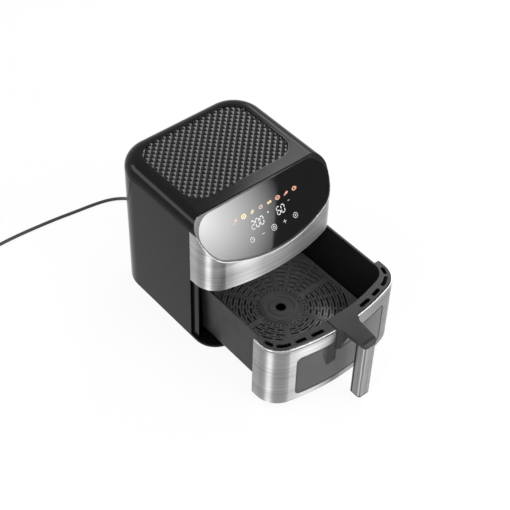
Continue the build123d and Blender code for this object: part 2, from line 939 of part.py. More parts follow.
# Drawer core: the plastic body behind the steel, with a floor and a tunnel round the window
floor_back = 244
floor_thickness = 2.5
pad_length = 6
pad_width = 24
pad_x = 45
tunnel_wall = 2
core_bottom = drawer_bottom + skin
core_floor_top = core_bottom + floor_thickness

with BuildPart() as window_tunnel:
    add(window_block(window_border + tunnel_wall))
    add(window_block(window_border), mode=Mode.SUBTRACT)
    extrude(
        plan_face(drawer_level(0), core_inset - core_wall / 2),
        amount=drawer_top,
        mode=Mode.INTERSECT,
    )
    add(basket_form(), mode=Mode.SUBTRACT)
    split(bisect_by=drawer_cross(floor_back), keep=Keep.TOP)

with BuildPart() as core_floor:
    extrude(plan_face(drawer_level(core_bottom), skin), amount=floor_thickness)
    split(bisect_by=drawer_cross(floor_back), keep=Keep.TOP)
    with BuildSketch(drawer_level(core_floor_top)):
        with Locations((-pad_x, -floor_back), (pad_x, -floor_back)):
            Rectangle(pad_width, pad_length, align=(Align.CENTER, Align.MAX))
    extrude(amount=basket_bottom - core_floor_top)

with BuildPart() as drawer_core:
    add(plan_wall(drawer_level(core_bottom), basket_top - core_bottom, skin, core_inset))
    split(bisect_by=drawer_cross(seam_depth), keep=Keep.TOP)
    add(core_floor.part)
    add(window_tunnel.part)
    add(window_block(window_border), mode=Mode.SUBTRACT)
    add(bridge_notch(0), mode=Mode.SUBTRACT)
    add(screw_bores(), mode=Mode.SUBTRACT)
finish(drawer_core, "drawer_core")

# Window of the drawer's front: a seal and a dark bowed pane
seal_proud = 0.4

with BuildPart() as window_frame:
    add(plan_wall(drawer_level(drawer_bottom), drawer_top - drawer_bottom, -seal_proud, core_inset))
    add(window_block(window_border), mode=Mode.INTERSECT)
    add(window_block(), mode=Mode.SUBTRACT)
finish(window_frame, "window_frame")

with BuildPart() as window_glass:
    add(plan_wall(drawer_level(drawer_bottom), drawer_top - drawer_bottom, 0, core_inset))
    add(window_block(), mode=Mode.INTERSECT)
finish(window_glass, "window_glass")

# Trim: a rounded metal rim along the top of the drawer's front, in two halves
trim_width = 2
trim_height = 4.4
trim_round = 0.8
trim_top = trim_bottom + trim_height
drawer_sides = {"left": Keep.BOTTOM, "right": Keep.TOP}

with BuildPart() as trim_ring:
    add(plan_wall(drawer_level(basket_top), trim_top - basket_top, 0, trim_width))
    fillet(trim_ring.faces().sort_by(Axis.Z)[-1].outer_wire().edges(), trim_round)
    add(plan_wall(drawer_level(trim_bottom), basket_top - trim_bottom, 0, skin))
    split(bisect_by=drawer_cross(seam_depth), keep=Keep.TOP)
    add(bridge_notch(bridge_gap), mode=Mode.SUBTRACT)

for side_name, side_kept in drawer_sides.items():
    with BuildPart() as trim_half:
        add(trim_ring.part)
        split(bisect_by=Plane.YZ, keep=side_kept)
    finish(trim_half, f"drawer_trim_{side_name}")

# Ledge: a black ring round the basket's mouth in two halves, with air slots
ledge_gap = 0.4
ledge_bevel = 1.6
slot_width = 7.6
slot_inset = 11.5
corner_slot_shares = ((0.13, 0.36), (0.63, 1.05))
bow_slot_shares = ((0.41, 0.57), (0.72, 0.84))
corner_bow_gap = front_bow_radius - front_corner_radius
corner_centre_x = body_width / 2 - front_corner_radius
bow_centre_y = front_bow_radius - body_depth
corner_centre_y = bow_centre_y - sqrt(corner_bow_gap**2 - corner_centre_x**2)
bow_half_angle = degrees(atan2(corner_centre_x, bow_centre_y - corner_centre_y))
corner_angle = full_turn / 4 - bow_half_angle


def ledge_slots():
    """Rounded slots along the ledge: two round each corner and two on each side of the handle."""
    with BuildSketch(drawer_level(basket_top)) as slots:
        for start, end in corner_slot_shares:
            with BuildLine() as centre_line:
                CenterArc(
                    (corner_centre_x, corner_centre_y),
                    front_corner_radius - slot_inset,
                    -start * corner_angle,
                    (start - end) * corner_angle,
                )
            SlotArc(centre_line.edges()[0], slot_width)
        for start, end in bow_slot_shares:
            with BuildLine() as centre_line:
                CenterArc(
                    (0, bow_centre_y),
                    front_bow_radius - slot_inset,
                    start * bow_half_angle - full_turn / 4,
                    (end - start) * bow_half_angle,
                )
            SlotArc(centre_line.edges()[0], slot_width)
        mirror(about=Plane.YZ)
    return slots.sketch


with BuildPart() as ledge_ring:
    extrude(plan_face(drawer_level(basket_top), trim_width + ledge_gap), amount=ledge_thickness)
    chamfer(ledge_ring.faces().sort_by(Axis.Z)[-1].edges(), ledge_bevel)
    split(bisect_by=drawer_cross(seam_depth), keep=Keep.TOP)
    extrude(basket_face(basket_top, basket_wall), amount=ledge_thickness, mode=Mode.SUBTRACT)
    extrude(ledge_slots(), amount=ledge_thickness, mode=Mode.SUBTRACT)
    add(bridge_notch(bridge_gap), mode=Mode.SUBTRACT)

for side_name, side_kept in drawer_sides.items():
    with BuildPart() as ledge_half:
        add(ledge_ring.part)
        split(bisect_by=Plane.YZ, keep=side_kept)
    finish(ledge_half, f"drawer_ledge_{side_name}")

# Handle: a bridge over the ledge with a gusset, and a grip that hangs from its end
bridge_width = 37
tip_width = 27
root_reach = 2.5
flare_reach = 8
root_round = 2.5
flare_round = 10
tip_round = 6.5
lip_length = 9
lip_step = 0.7
lip_end = 3
gusset_reach = 20
gusset_foot_height = 104
gusset_foot_rise = 8
gusset_round = 4
grip_sleeve = 0.8
grip_margin = 0.5
grip_back = 6
grip_back_round = 3
sleeve_length = 17.5
grip_bottom = 17
cap_height = 5
cap_round = 3.5
grip_front = bridge_end - grip_margin
sleeve_end = grip_front - sleeve_length
seal_top = window_high + window_border


def handle_plan(height):
    """The bridge from above: a broad root with hollow flanks that narrows to a rounded tip."""
    root = handle_width / 2
    with BuildSketch(drawer_level(height)) as outline:
        with BuildLine():
            Polyline(
                (root, ledge_width - body_depth),
                (root, -body_depth - root_reach),
                (bridge_width / 2, -body_depth - flare_reach),
                (tip_width / 2, -bridge_end),
                (-tip_width / 2, -bridge_end),
                (-bridge_width / 2, -body_depth - flare_reach),
                (-root, -body_depth - root_reach),
                (-root, ledge_width - body_depth),
                close=True,
            )
        make_face()
        fillet(outline.vertices().group_by(Axis.Y)[-2], root_round)
        fillet(outline.vertices().group_by(Axis.Y)[1], flare_round)
        fillet(outline.vertices().group_by(Axis.Y)[0], tip_round)
    return outline.sketch


def grip_face(height, inset=0):
    """The sleeved part of the grip from above, drawn smaller by the inset at front and sides."""
    with BuildSketch(drawer_level(height)) as outline:
        with Locations((0, -sleeve_end)):
            Rectangle(
                tip_width - 2 * grip_margin - 2 * inset,
                sleeve_length - inset,
                align=(Align.CENTER, Align.MAX),
            )
        fillet(outline.vertices().group_by(Axis.Y)[0], tip_round - grip_margin - inset)
    return outline.sketch


def grip_back_face(height):
    """The bare part of the grip from above, behind the sleeve."""
    with BuildSketch(drawer_level(height)) as outline:
        with Locations((0, -sleeve_end)):
            Rectangle(tip_width - 2 * grip_margin, grip_back, align=(Align.CENTER, Align.MIN))
        fillet(outline.vertices().group_by(Axis.Y)[-1], grip_back_round)
    return outline.sketch


with BuildPart() as gusset:
    with BuildSketch(drawer_side()) as gusset_side:
        with BuildLine():
            Polyline(
                (-screw_seat, bridge_bottom),
                (-body_depth - gusset_reach, bridge_bottom),
                (-body_depth - flare_reach, gusset_foot_height + gusset_foot_rise),
                (-body_depth - flare_reach, gusset_foot_height),
                (-screw_seat, gusset_foot_height),
                close=True,
            )
        make_face()
        foot_corner = gusset_side.vertices().group_by(Axis.Y)[0].sort_by(Axis.X)[0]
        fillet(foot_corner, gusset_round)
    extrude(amount=handle_width / 2, both=True)
    extrude(
        handle_plan(gusset_foot_height),
        amount=bridge_bottom - gusset_foot_height,
        mode=Mode.INTERSECT,
    )
    extrude(plan_face(drawer_level(0)), amount=drawer_top, mode=Mode.SUBTRACT)
    extrude(
        plan_face(drawer_level(0), -seal_proud), amount=seal_top, mode=Mode.SUBTRACT
    )
    add(screw_bores(), mode=Mode.SUBTRACT)

with BuildPart() as handle_bridge:
    with BuildSketch(drawer_side()):
        with BuildLine():
            Polyline(
                (lip_length - bridge_end, bridge_top - lip_step),
                (lip_length - bridge_end, bridge_top),
                (ledge_width - body_depth, bridge_top),
                (ledge_width - body_depth, bridge_bottom),
                (-bridge_end, bridge_bottom),
                (-bridge_end, bridge_bottom + lip_end),
            )
            TangentArc(
                (lip_length - bridge_end, bridge_top - lip_step),
                (-bridge_end, bridge_bottom + lip_end),
                tangent=(-1, 0),
            )
        make_face()
    extrude(amount=handle_width / 2, both=True)
    extrude(handle_plan(bridge_bottom), amount=bridge_thickness, mode=Mode.INTERSECT)
    extrude(basket_face(basket_top, -basket_rim), amount=-ledge_width, mode=Mode.SUBTRACT)
    add(gusset.part)
finish(handle_bridge, "handle_bridge")

with BuildPart() as handle_core:
    extrude(grip_face(grip_bottom, grip_sleeve), amount=bridge_bottom - grip_bottom)
    extrude(grip_back_face(grip_bottom), amount=bridge_bottom - grip_bottom)
finish(handle_core, "handle_core")

with BuildPart() as handle_sleeve:
    extrude(grip_face(grip_bottom), amount=bridge_bottom - grip_bottom)
    extrude(
        grip_face(grip_bottom, grip_sleeve),
        amount=bridge_bottom - grip_bottom,
        mode=Mode.SUBTRACT,
    )
finish(handle_sleeve, "handle_sleeve")

with BuildPart() as handle_cap:
    extrude(grip_face(grip_bottom), amount=-cap_height)
    extrude(grip_back_face(grip_bottom), amount=-cap_height)
    fillet(handle_cap.faces().sort_by(Axis.Z)[0].edges(), cap_round)
finish(handle_cap, "handle_cap")

# Two screws that hold the handle from inside the drawer's front
screw_head_radius = 3.8
screw_head_height = 2.4

for screw_name, screw_side in (("handle_screw_left", -1), ("handle_screw_right", 1)):
    with BuildPart() as handle_screw:
        with BuildSketch(drawer_cross(screw_seat, screw_height)):
            with Locations((screw_side * screw_x, 0)):
                Circle(screw_radius)
        extrude(amount=screw_length)
        with BuildSketch(drawer_cross(screw_seat, screw_height)):
            with Locations((screw_side * screw_x, 0)):
                Circle(screw_head_radius)
        extrude(amount=-screw_head_height)
    finish(handle_screw, screw_name)

# Crisper plate: a pierced plate with a hub and six double ribs, on four legs in the basket
plate_sheet = 1.6
plate_skirt = 10
plate_margin = 2.2
plate_border = 6
plate_round = 1.2
leg_radius = 5
leg_x = 85
leg_depths = (72, 228)
hub_radius = 39
hub_rise = 1.6
hub_hole_radius = 9.8
hub_grooves = ((37.3, 2.2), (33.3, 2.2), (23.5, 3.6))
hub_groove_depth = 1.2
rib_count = 6
rib_gap = 4.4
rib_width = 1.6
rib_rise = 1.2
rib_end = 113
hole_ring_radius = 43.2
hole_side = 3.2
hole_count = 36
row_start = 48.8
row_pitch = 5.45
row_count = 14
row_widths = (1.8, 3.2)
row_bar = 4.6
row_bar_shares = ((1 / 6, 1 / 2, 5 / 6), (1 / 3, 2 / 3))
bumper_length = 16
bumper_drop = 1
bumper_depths = (78, 222)
plate_skirt_bottom = plate_top - plate_skirt
plate_lean = (basket_top - plate_skirt_bottom) * tan(radians(basket_draft))
plate_inset = basket_wall + plate_lean + plate_margin
plate_half_width = basket_width / 2 - plate_inset
rib_band = 2 * rib_gap + rib_width


def slot_rows(first):
    """Every other ring of slots, broken by bars at the same places in each and by the ribs."""
    with BuildSketch(plate_level(plate_top)) as slots:
        for row in reversed(range(first, row_count, 2)):
            radius = row_start + row * row_pitch
            Circle(radius + row_widths[first] / 2)
            Circle(radius - row_widths[first] / 2, mode=Mode.SUBTRACT)
        with PolarLocations(0, rib_count):
            Rectangle(body_width, rib_band, align=(Align.MIN, Align.CENTER), mode=Mode.SUBTRACT)
        for share in row_bar_shares[first]:
            with PolarLocations(0, rib_count, start_angle=share * full_turn / rib_count):
                Rectangle(body_width, row_bar, align=(Align.MIN, Align.CENTER), mode=Mode.SUBTRACT)
    return slots.sketch


with BuildPart() as plate_openings:
    extrude(slot_rows(0), amount=-plate_sheet)
    extrude(slot_rows(1), amount=-plate_sheet)
    extrude(
        basket_face(plate_top, plate_inset + plate_border),
        amount=-plate_sheet,
        mode=Mode.INTERSECT,
    )
    with BuildSketch(plate_level(plate_top)):
        with PolarLocations(hole_ring_radius, hole_count, start_angle=full_turn / hole_count / 2):
            Rectangle(hole_side, hole_side)
    extrude(amount=-plate_sheet)

with BuildPart() as crisper_plate:
    extrude(basket_face(plate_top, plate_inset), amount=-plate_skirt)
    fillet(crisper_plate.faces().sort_by(Axis.Z)[-1].edges(), plate_round)
    extrude(
        basket_face(plate_top - plate_sheet, plate_inset + plate_sheet),
        amount=-plate_skirt,
        mode=Mode.SUBTRACT,
    )
    add(plate_openings.part, mode=Mode.SUBTRACT)
    with BuildSketch(plate_level(plate_top)):
        with PolarLocations((hub_radius + rib_end) / 2, rib_count):
            with GridLocations(0, rib_gap, 1, 2):
                Rectangle(rib_end - hub_radius, rib_width)
    extrude(amount=rib_rise)
    with BuildSketch(plate_level(plate_top)):
        Circle(hub_radius)
    extrude(amount=hub_rise)
    with BuildSketch(plate_level(plate_top + hub_rise)):
        for groove_radius, groove_width in hub_grooves:
            Circle(groove_radius + groove_width / 2)
            Circle(groove_radius - groove_width / 2, mode=Mode.SUBTRACT)
    extrude(amount=-hub_groove_depth, mode=Mode.SUBTRACT)
    with BuildSketch(drawer_level(plate_top - plate_sheet)):
        with Locations(*[(x, -depth) for x in (-leg_x, leg_x) for depth in leg_depths]):
            Circle(leg_radius)
    extrude(amount=basket_bottom + basket_wall - plate_top + plate_sheet)
    with BuildSketch(plate_level(plate_top - plate_sheet)):
        Circle(hub_hole_radius)
    extrude(amount=hub_rise + plate_sheet, mode=Mode.SUBTRACT)
finish(crisper_plate, "crisper_plate")

# Four silicone bumpers on the plate's skirt, clear of the basket's walls
bumper_names = {
    "plate_bumper_back_left": (-1, 0),
    "plate_bumper_back_right": (1, 0),
    "plate_bumper_front_left": (-1, 1),
    "plate_bumper_front_right": (1, 1),
}

for bumper_name, (bumper_side, bumper_end) in bumper_names.items():
    with BuildPart() as plate_bumper:
        with BuildSketch(drawer_level(plate_skirt_bottom)):
            bumper_thickness = plate_margin - running_gap
            bumper_x = bumper_side * (plate_half_width + bumper_thickness / 2)
            with Locations((bumper_x, -bumper_depths[bumper_end])):
                Rectangle(bumper_thickness, bumper_length)
        extrude(amount=plate_skirt - bumper_drop - plate_round)
    finish(plate_bumper, bumper_name)

# Cord: a strain relief on the back, a tube along its route, a coil, and a plug
cord_radius = 3.3
gland_flange_radius = 11
gland_flange_thickness = 2.5
gland_length = 28.5
gland_foot_radius = 7
gland_tip_radius = 4.4
gland_inner = 5
coil_height = 13.3
coil_lift = 0.1
coil_inner_radius = 29.6
coil_outer_radius = 43
coil_round = 3
outer_turn_radius = 39.6
upper_turn_radius = 36.3
coil_x = -356
lead_height = 3.4
tail_height = 9.1
tail_length = 28
plug_relief_length = 22
plug_relief_radius = 6
plug_length = 36
plug_width = 30
plug_thickness = 18
plug_round = 6
plug_nose = 8
pin_radius = 2.4
pin_length = 19
pin_spacing = 19
pin_round = 1.2
corner_share = 0.45
cord_route = [
    (-4, 28.5, 34),
    (-4, 56, 34),
    (-5, 84, 23),
    (-7, 110, 8),
    (-14, 134, 3.4),
    (-33, 153, 3.4),
    (-60, 165, 3.4),
    (-92, 171, 3.4),
    (-128, 176, 3.4),
    (-166, 182, 3.4),
    (-204, 186, 3.4),
    (-238, 189, 3.4),
    (-268, 190.4, 3.4),
    (-297, 190.4, 3.4),
]
cord_points = [Vector(x, back_y + behind, height) for x, behind, height in cord_route]
coil_y = cord_points[-1].Y + outer_turn_radius
tail_y = coil_y + upper_turn_radius
plug_x = coil_x + tail_length
plug_body_x = plug_x + plug_relief_length


def corner_radii(points):
    """As large an arc at each corner of a route as its two runs allow."""
    radii = []
    for before, corner, after in zip(points, points[1:], points[2:]):
        turn = radians((corner - before).get_angle(after - corner))
        shorter = min((corner - before).length, (after - corner).length)
        radii.append(corner_share * shorter / tan(turn / 2))
    return radii


def along_x(x, y, height):
    """Upright plane across the tail and the plug, facing +X."""
    return Plane(origin=(x, y, height), x_dir=(0, 1, 0), z_dir=(1, 0, 0))


with BuildPart() as cord_gland:
    with BuildSketch(housing_cross(0, cord_height)):
        with Locations((cord_x, 0)):
            Circle(gland_hole_radius)
    extrude(amount=housing_wall)
    with BuildSketch(housing_cross(housing_wall, cord_height)):
        with Locations((cord_x, 0)):
            Circle(gland_flange_radius)
    extrude(amount=gland_inner)
    with BuildSketch(housing_cross(0, cord_height)):
        with Locations((cord_x, 0)):
            Circle(gland_flange_radius)
    extrude(amount=-gland_flange_thickness)
    with BuildSketch(housing_cross(-gland_flange_thickness, cord_height)):
        with Locations((cord_x, 0)):
            Circle(gland_foot_radius)
    with BuildSketch(housing_cross(-gland_length, cord_height)):
        with Locations((cord_x, 0)):
            Circle(gland_tip_radius)
    loft()
finish(cord_gland, "cord_gland")

cord_radii = corner_radii(cord_points)
print("cord corner radii", [round(radius) for radius in cord_radii])

with BuildPart() as power_cord:
    with BuildLine() as cord_path:
        FilletPolyline(*cord_points, radius=cord_radii)
    with BuildSketch(Plane(origin=cord_path.line @ 0, z_dir=cord_path.line % 0)):
        Circle(cord_radius)
    sweep()
finish(power_cord, "power_cord")
cord_length = cord_path.wires()[0].length
cord_volume = pi * cord_radius**2 * cord_length
print("cord length and volume share", cord_length, power_cord.part.volume / cord_volume)

with BuildPart() as cord_coil:
    with BuildSketch(Plane((coil_x, coil_y, coil_lift))):
        Circle(coil_outer_radius)
        Circle(coil_inner_radius, mode=Mode.SUBTRACT)
    extrude(amount=coil_height)
    fillet(cord_coil.faces().sort_by(Axis.Z)[-1].edges(), coil_round)
    with BuildSketch(along_x(cord_points[-1].X, cord_points[-1].Y, lead_height)):
        Circle(cord_radius)
    extrude(amount=coil_x - cord_points[-1].X)
    with BuildSketch(along_x(coil_x, tail_y, tail_height)):
        Circle(cord_radius)
    extrude(amount=tail_length)
finish(cord_coil, "cord_coil")

with BuildPart() as plug_body:
    with BuildSketch(along_x(plug_x, tail_y, tail_height)):
        Circle(cord_radius)
    with BuildSketch(along_x(plug_body_x, tail_y, tail_height)):
        Circle(plug_relief_radius)
    loft()
    with BuildSketch(along_x(plug_body_x, tail_y, tail_height)):
        RectangleRounded(plug_width - 2 * plug_nose, plug_thickness - plug_nose / 2, plug_round / 2)
    with BuildSketch(along_x(plug_body_x + plug_nose, tail_y, tail_height)):
        RectangleRounded(plug_width, plug_thickness, plug_round)
    loft()
    with BuildSketch(along_x(plug_body_x + plug_nose, tail_y, tail_height)):
        RectangleRounded(plug_width, plug_thickness, plug_round)
    extrude(amount=plug_length - plug_nose)
finish(plug_body, "plug_body")

for pin_name, pin_side in (("plug_pin_left", -1), ("plug_pin_right", 1)):
    with BuildPart() as plug_pin:
        with BuildSketch(
            along_x(plug_body_x + plug_length, tail_y + pin_side * pin_spacing / 2, tail_height)
        ):
            Circle(pin_radius)
        extrude(amount=pin_length)
        fillet(plug_pin.faces().sort_by(Axis.X)[-1].edges(), pin_round)
    finish(plug_pin, pin_name)
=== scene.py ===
from math import cos, pi, radians, sin

import bpy
from mathutils import Matrix, Vector


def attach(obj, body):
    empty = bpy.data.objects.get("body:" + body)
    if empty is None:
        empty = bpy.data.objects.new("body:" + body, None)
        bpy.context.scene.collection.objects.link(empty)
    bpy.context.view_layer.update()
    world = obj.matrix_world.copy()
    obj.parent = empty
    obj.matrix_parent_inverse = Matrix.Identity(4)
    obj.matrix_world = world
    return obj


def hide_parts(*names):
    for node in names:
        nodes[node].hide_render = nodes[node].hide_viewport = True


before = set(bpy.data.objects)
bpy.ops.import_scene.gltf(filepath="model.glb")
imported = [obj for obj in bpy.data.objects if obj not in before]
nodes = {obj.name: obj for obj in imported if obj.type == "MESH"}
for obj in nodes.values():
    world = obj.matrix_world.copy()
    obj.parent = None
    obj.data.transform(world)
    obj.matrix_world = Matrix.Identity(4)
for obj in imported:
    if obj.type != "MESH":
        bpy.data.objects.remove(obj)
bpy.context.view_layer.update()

scene = bpy.context.scene

# All lengths are in metres. Places that part.py sets too:
back_y = 0.261
glass_top = (0.0, 0.037, 0.2925)
glass_foot = (0.0, -0.035, 0.199)

# Camera, fitted to the photograph
camera_azimuth = radians(-41.53)
camera_elevation = radians(45.76)
camera_roll = radians(2.0)
camera_place = (-1.0046, -1.0984, 1.6778)
camera_lens = 85.82

back_way = Vector(
    (
        sin(camera_azimuth) * cos(camera_elevation),
        -cos(camera_azimuth) * cos(camera_elevation),
        sin(camera_elevation),
    )
)
level_right = Vector((cos(camera_azimuth), sin(camera_azimuth), 0))
level_up = back_way.cross(level_right)
right_way = level_right * cos(camera_roll) + level_up * sin(camera_roll)
up_way = level_up * cos(camera_roll) - level_right * sin(camera_roll)

camera_data = bpy.data.cameras.new("camera")
camera_data.lens = camera_lens
camera = bpy.data.objects.new("camera", camera_data)
scene.collection.objects.link(camera)
camera.matrix_world = Matrix.Translation(camera_place) @ Matrix(
    (right_way, up_way, back_way)
).transposed().to_4x4()
scene.camera = camera


# Materials
brush_depth = 0.00001
# Share of a full turn by which the steel's highlights are turned
brush_turn = 0.25
least_glow = 0.85


def shader(name):
    """A new material, its node tree and its principled shader."""
    material = bpy.data.materials.new(name)
    material.use_nodes = True
    tree = material.node_tree
    return material, tree, tree.nodes["Principled BSDF"]


def linked(tree, kind, inputs=(), **settings):
    """A new node with its settings, whose inputs are set by name or linked from a socket."""
    node = tree.nodes.new(kind)
    for key, value in settings.items():
        setattr(node, key, value)
    for key, value in dict(inputs).items():
        if isinstance(value, bpy.types.NodeSocket):
            tree.links.new(value, node.inputs[key])
        else:
            node.inputs[key].default_value = value
    return node


def noise(tree, stretch, detail):
    """Noise over object coordinates that are scaled by a vector."""
    place = linked(tree, "ShaderNodeTexCoord").outputs["Object"]
    stretched = linked(tree, "ShaderNodeMapping", {"Vector": place, "Scale": stretch})
    return linked(
        tree,
        "ShaderNodeTexNoise",
        {"Vector": stretched.outputs["Vector"], "Scale": 1.0, "Detail": detail},
    ).outputs["Fac"]


def even_noise(tree, scale, detail):
    """Noise of one scale in all directions."""
    return noise(tree, (scale, scale, scale), detail)


def between(tree, value, low, high, from_low=0.3, from_high=0.7):
    """A value spread from one range to another."""
    return linked(
        tree,
        "ShaderNodeMapRange",
        {
            "Value": value,
            "From Min": from_low,
            "From Max": from_high,
            "To Min": low,
            "To Max": high,
        },
    ).outputs["Result"]


def tinted(tree, value, dark, light):
    """A colour between two colours."""
    mix = linked(tree, "ShaderNodeMix", {"Factor": value}, data_type="RGBA")
    mix.inputs["A"].default_value = (*dark, 1)
    mix.inputs["B"].default_value = (*light, 1)
    return mix.outputs["Result"]


def textured(tree, principled, color, roughness, height, depth):
    """Links a colour, a roughness and the bumps of a height to a principled shader."""
    bump = linked(tree, "ShaderNodeBump", {"Height": height, "Distance": depth, "Strength": 1.0})
    tree.links.new(color, principled.inputs["Base Color"])
    tree.links.new(roughness, principled.inputs["Roughness"])
    tree.links.new(bump.outputs["Normal"], principled.inputs["Normal"])


def grained(name, dark, light, roughness, grain, depth, mottle=40, metallic=0.0, specular=0.5):
    """A material with a fine grain, and slow changes of colour and roughness."""
    material, tree, principled = shader(name)
    slow = even_noise(tree, mottle, detail=4)
    fine = even_noise(tree, grain, detail=2)
    color = tinted(tree, slow, dark, light)
    textured(tree, principled, color, between(tree, slow, *roughness), fine, depth)
    principled.inputs["Metallic"].default_value = metallic
    principled.inputs["Specular IOR Level"].default_value = specular
    return material


def brushed(name, stretch, dark, light, roughness, anisotropy):
    """Brushed steel: long fine lines that vary its colour, roughness and height."""
    material, tree, principled = shader(name)
    lines = noise(tree, stretch, detail=6)
    slow = even_noise(tree, 9, detail=2)
    color = tinted(tree, lines, dark, light)
    total = linked(tree, "ShaderNodeMath", {0: lines, 1: slow}, operation="ADD").outputs["Value"]
    uneven = between(tree, total, *roughness, from_low=0.7, from_high=1.3)
    textured(tree, principled, color, uneven, lines, brush_depth)
    tangent = linked(tree, "ShaderNodeTangent", direction_type="RADIAL", axis="Z")
    tree.links.new(tangent.outputs["Tangent"], principled.inputs["Tangent"])
    principled.inputs["Metallic"].default_value = 1.0
    principled.inputs["Anisotropic"].default_value = anisotropy
    principled.inputs["Anisotropic Rotation"].default_value = brush_turn
    return material


def glass(name, color, roughness, transmission, specular):
    """Glass, with a faint unevenness."""
    material, tree, principled = shader(name)
    uneven = between(tree, even_noise(tree, 20, detail=2), *roughness)
    tree.links.new(uneven, principled.inputs["Roughness"])
    principled.inputs["Base Color"].default_value = (*color, 1)
    principled.inputs["Transmission Weight"].default_value = transmission
    principled.inputs["Specular IOR Level"].default_value = specular
    return material


def glowing(name, color, strength):
    """A lit mark on the glass, slightly uneven."""
    material, tree, principled = shader(name)
    dimmed = [share * least_glow for share in color]
    uneven = tinted(tree, even_noise(tree, 300, detail=2), dimmed, color)
    tree.links.new(uneven, principled.inputs["Emission Color"])
    principled.inputs["Emission Strength"].default_value = strength
    principled.inputs["Base Color"].default_value = (0.02, 0.02, 0.02, 1)
    principled.inputs["Roughness"].default_value = 0.3
    return material


# Colours are from dark to light, roughness from low to high, grain in specks per metre
black_shell = grained(
    "black_shell", (0.003, 0.003, 0.0033), (0.005, 0.005, 0.0055),
    roughness=(0.14, 0.18), grain=2500, depth=0.000004, specular=0.1,
)
black_trim = grained(
    "black_trim", (0.016, 0.016, 0.0165), (0.022, 0.022, 0.0225),
    roughness=(0.2, 0.26), grain=3000, depth=0.000006, specular=0.15,
)
panel_black = grained(
    "panel_black", (0.003, 0.003, 0.003), (0.005, 0.005, 0.005),
    roughness=(0.1, 0.14), grain=2600, depth=0.000002, specular=0.22,
)
black_coating = grained(
    "black_coating", (0.005, 0.005, 0.0053), (0.009, 0.009, 0.0094),
    roughness=(0.34, 0.42), grain=1800, depth=0.00002, specular=0.18,
)
grey_coating = grained(
    "grey_coating", (0.12, 0.12, 0.121), (0.17, 0.17, 0.172),
    roughness=(0.22, 0.3), grain=1800, depth=0.00001,
)
silicone = grained(
    "silicone", (0.018, 0.018, 0.019), (0.03, 0.03, 0.031),
    roughness=(0.5, 0.6), grain=900, depth=0.00002,
)
foot_rubber = grained(
    "foot_rubber", (0.02, 0.02, 0.02), (0.035, 0.035, 0.035),
    roughness=(0.7, 0.8), grain=700, depth=0.00004,
)
cord_rubber = grained(
    "cord_rubber", (0.014, 0.014, 0.015), (0.024, 0.024, 0.025),
    roughness=(0.42, 0.5), grain=900, depth=0.00002,
)
board_green = grained(
    "board_green", (0.01, 0.08, 0.03), (0.015, 0.12, 0.05),
    roughness=(0.3, 0.42), grain=500, depth=0.00003,
)
liner_steel = grained(
    "liner_steel", (0.4, 0.4, 0.39), (0.52, 0.52, 0.51),
    roughness=(0.3, 0.42), grain=600, depth=0.00003, metallic=1.0,
)
bright_wire = grained(
    "bright_wire", (0.6, 0.6, 0.6), (0.7, 0.7, 0.7),
    roughness=(0.12, 0.2), grain=900, depth=0.00001, metallic=1.0,
)
element_metal = grained(
    "element_metal", (0.05, 0.045, 0.04), (0.13, 0.11, 0.1),
    roughness=(0.5, 0.65), grain=700, depth=0.00004, mottle=90, metallic=1.0,
)
motor_steel = grained(
    "motor_steel", (0.4, 0.4, 0.41), (0.55, 0.55, 0.56),
    roughness=(0.28, 0.4), grain=900, depth=0.00002, metallic=1.0,
)
fan_metal = grained(
    "fan_metal", (0.5, 0.5, 0.5), (0.62, 0.62, 0.62),
    roughness=(0.3, 0.42), grain=500, depth=0.00002, metallic=1.0,
)
pin_metal = grained(
    "pin_metal", (0.62, 0.62, 0.6), (0.72, 0.72, 0.7),
    roughness=(0.14, 0.22), grain=900, depth=0.00001, metallic=1.0,
)
trim_steel = grained(
    "trim_steel", (0.3, 0.3, 0.305), (0.42, 0.42, 0.426),
    roughness=(0.2, 0.28), grain=900, depth=0.00001, metallic=1.0,
)
steel_front = brushed(
    "steel_front", (5, 5, 320), (0.12, 0.12, 0.122), (0.48, 0.48, 0.485),
    roughness=(0.38, 0.46), anisotropy=0.97,
)
steel_grip = brushed(
    "steel_grip", (420, 420, 5), (0.06, 0.06, 0.061), (0.48, 0.48, 0.485),
    roughness=(0.34, 0.42), anisotropy=0.95,
)
panel_glass = glass(
    "panel_glass", (0.002, 0.002, 0.0022),
    roughness=(0.02, 0.035), transmission=0.0, specular=0.12,
)
window_glass = glass(
    "window_glass", (0.08, 0.08, 0.083),
    roughness=(0.03, 0.05), transmission=0.5, specular=0.25,
)
display_white = glowing("display_white", (1.0, 1.0, 1.0), 0.95)


def named(start):
    """The nodes whose names start alike."""
    return [name for name in nodes if name.startswith(start)]


